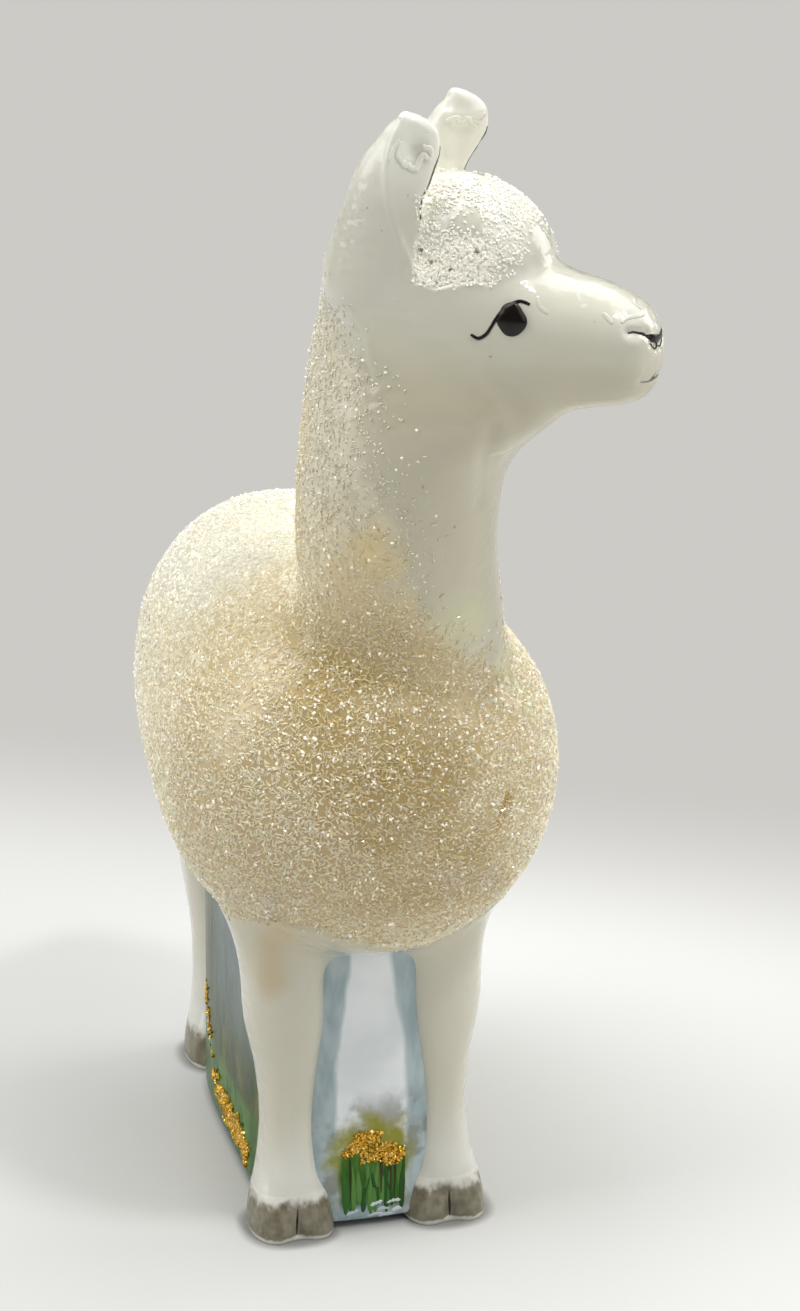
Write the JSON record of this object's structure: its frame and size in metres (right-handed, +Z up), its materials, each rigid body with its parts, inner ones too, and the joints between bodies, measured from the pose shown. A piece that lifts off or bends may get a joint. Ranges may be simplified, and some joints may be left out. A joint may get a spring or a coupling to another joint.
{
  "type": "blown glass llama figurine",
  "caption": "Standing moulded glass llama figurine with its head turned, a sugared fleece, and a painted meadow block between its legs.",
  "frame": {"origin": "middle of the figurine's box, on the plane of its four soles", "axes": "+Z up, the animal's chest faces -Y and its left side +X"},
  "size_m": [0.0426, 0.076, 0.1144],
  "materials": {
    "white_enamel": "glossy warm white enamel on glass",
    "sugared_fleece": "cream coat of clear glitter grains on glass",
    "eye_black": "glossy black enamel",
    "hoof_grey": "brushed grey-brown enamel with a white rim",
    "meadow_paint": "pale blue enamel with painted grass and gold glitter flowers"
  },
  "bodies": {
    "root": {"head": "white_enamel", "topknot": "sugared_fleece", "ear_right": "white_enamel", "ear_left": "white_enamel", "eye_right": "eye_black", "eye_left": "eye_black", "neck": "sugared_fleece", "trunk": "sugared_fleece", "tail": "sugared_fleece", "leg_front_right": "white_enamel", "leg_front_left": "white_enamel", "leg_hind_right": "white_enamel", "leg_hind_left": "white_enamel", "hoof_front_right": "hoof_grey", "hoof_front_left": "hoof_grey", "hoof_hind_right": "hoof_grey", "hoof_hind_left": "hoof_grey", "meadow_block": "meadow_paint"}
  },
  "joints": []
}
